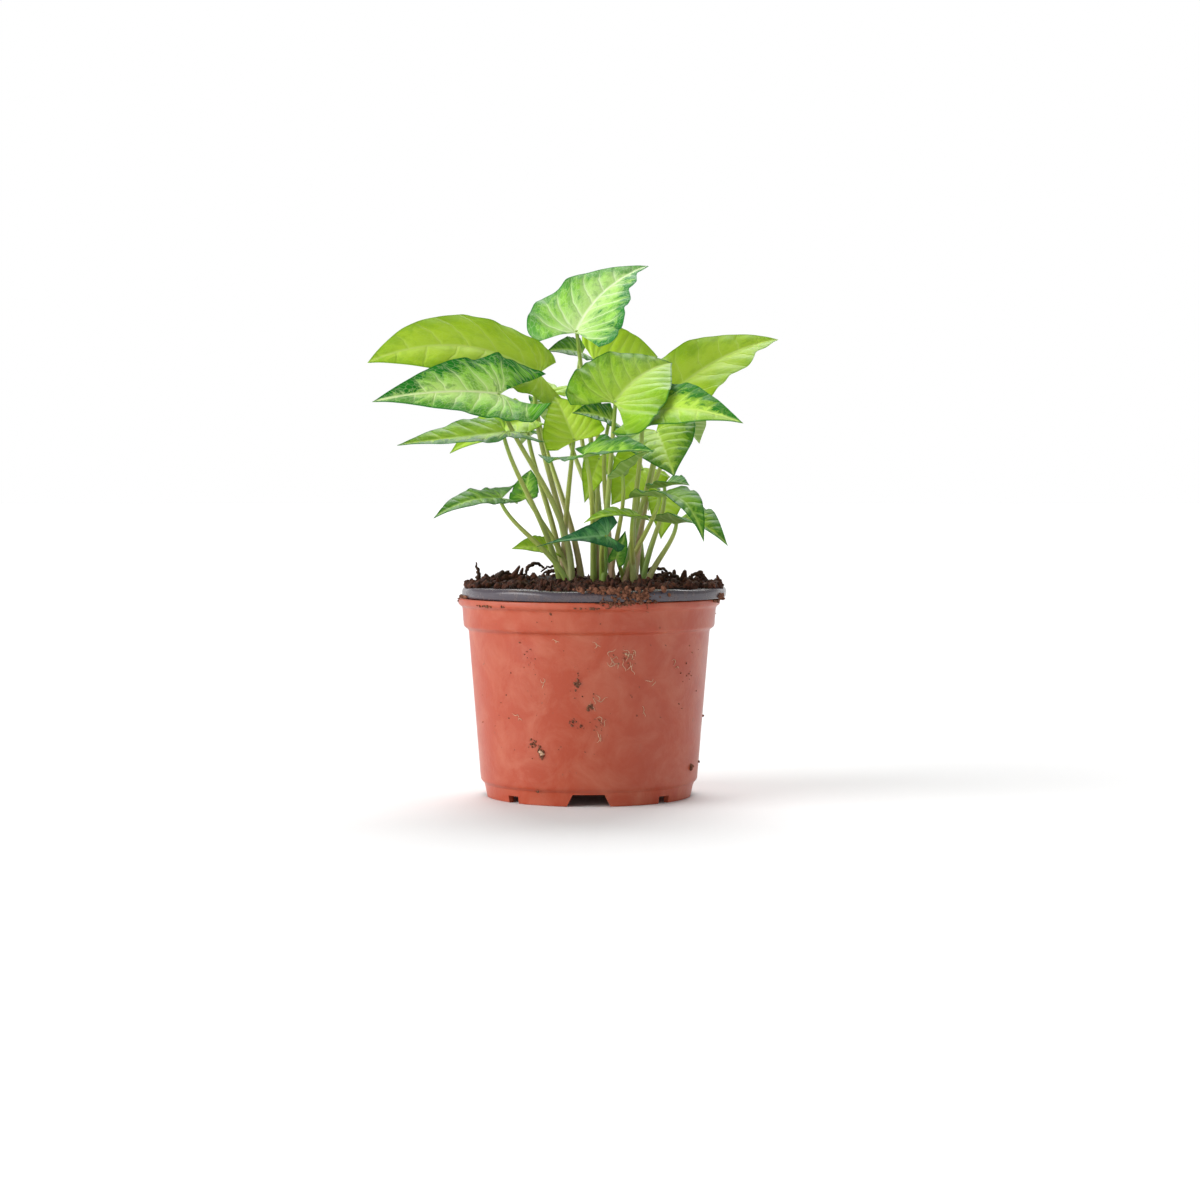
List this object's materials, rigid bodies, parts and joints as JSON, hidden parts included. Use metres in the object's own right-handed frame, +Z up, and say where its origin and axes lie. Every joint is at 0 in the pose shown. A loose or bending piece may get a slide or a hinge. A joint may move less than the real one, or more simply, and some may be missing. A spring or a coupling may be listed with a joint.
{
  "type": "arrowhead plant in a nursery pot",
  "caption": "Arrowhead plant with broad variegated leaves on slim stalks, rooted in potting soil in a round tapered nursery pot with a stepped lip and a notched foot.",
  "frame": {"origin": "on the ground under the middle of the plant's outline, 2 mm left of the pot's axis", "axes": "+Z up, the side of the plant that the picture shows towards -Y, its right towards +X"},
  "size_m": [0.1832, 0.1484, 0.2383],
  "materials": {
    "terracotta_plastic": "satin",
    "dark_grey_plastic": "satin",
    "potting_soil": "matte",
    "leaf_stalk": "satin",
    "leaf_lime": "satin",
    "leaf_pale": "satin",
    "leaf_mottled": "satin",
    "leaf_dark": "satin",
    "leaf_bluish": "satin"
  },
  "bodies": {
    "root": {"outer_pot": "terracotta_plastic", "inner_pot": "dark_grey_plastic", "soil": "potting_soil", "plantlet_front_left": "leaf_stalk", "plantlet_front_middle": "leaf_stalk", "plantlet_front_right": "leaf_stalk", "plantlet_back_left": "leaf_stalk", "plantlet_back_middle": "leaf_stalk", "plantlet_back_right": "leaf_stalk", "leaf_top": "leaf_pale", "leaf_top_round_behind": "leaf_lime", "leaf_top_small_behind": "leaf_dark", "leaf_left_long": "leaf_lime", "leaf_left_mottled": "leaf_mottled", "leaf_left_level": "leaf_mottled", "leaf_left_lime_behind": "leaf_lime", "leaf_low_left": "leaf_dark", "leaf_low_left_behind": "leaf_dark", "leaf_low_left_small": "leaf_lime", "leaf_low_front_dark": "leaf_bluish", "leaf_low_middle": "leaf_lime", "leaf_bud_right": "leaf_dark", "leaf_front_level": "leaf_dark", "leaf_middle_large": "leaf_lime", "leaf_middle_mottled": "leaf_mottled", "leaf_middle_lime": "leaf_lime", "leaf_middle_underside": "leaf_pale", "leaf_middle_lime_behind": "leaf_lime", "leaf_right_long": "leaf_lime", "leaf_right_mottled": "leaf_mottled", "leaf_right_hanging": "leaf_mottled", "leaf_right_rolled": "leaf_pale", "leaf_right_drooping": "leaf_dark", "leaf_right_low": "leaf_mottled", "leaf_right_lime_behind": "leaf_lime", "leaf_right_lime_low": "leaf_lime", "leaf_back_left_high": "leaf_lime", "leaf_back_middle_high": "leaf_mottled", "leaf_back_right_high": "leaf_mottled", "leaf_back_left_low": "leaf_mottled", "leaf_back_right_low": "leaf_dark"}
  },
  "joints": []
}
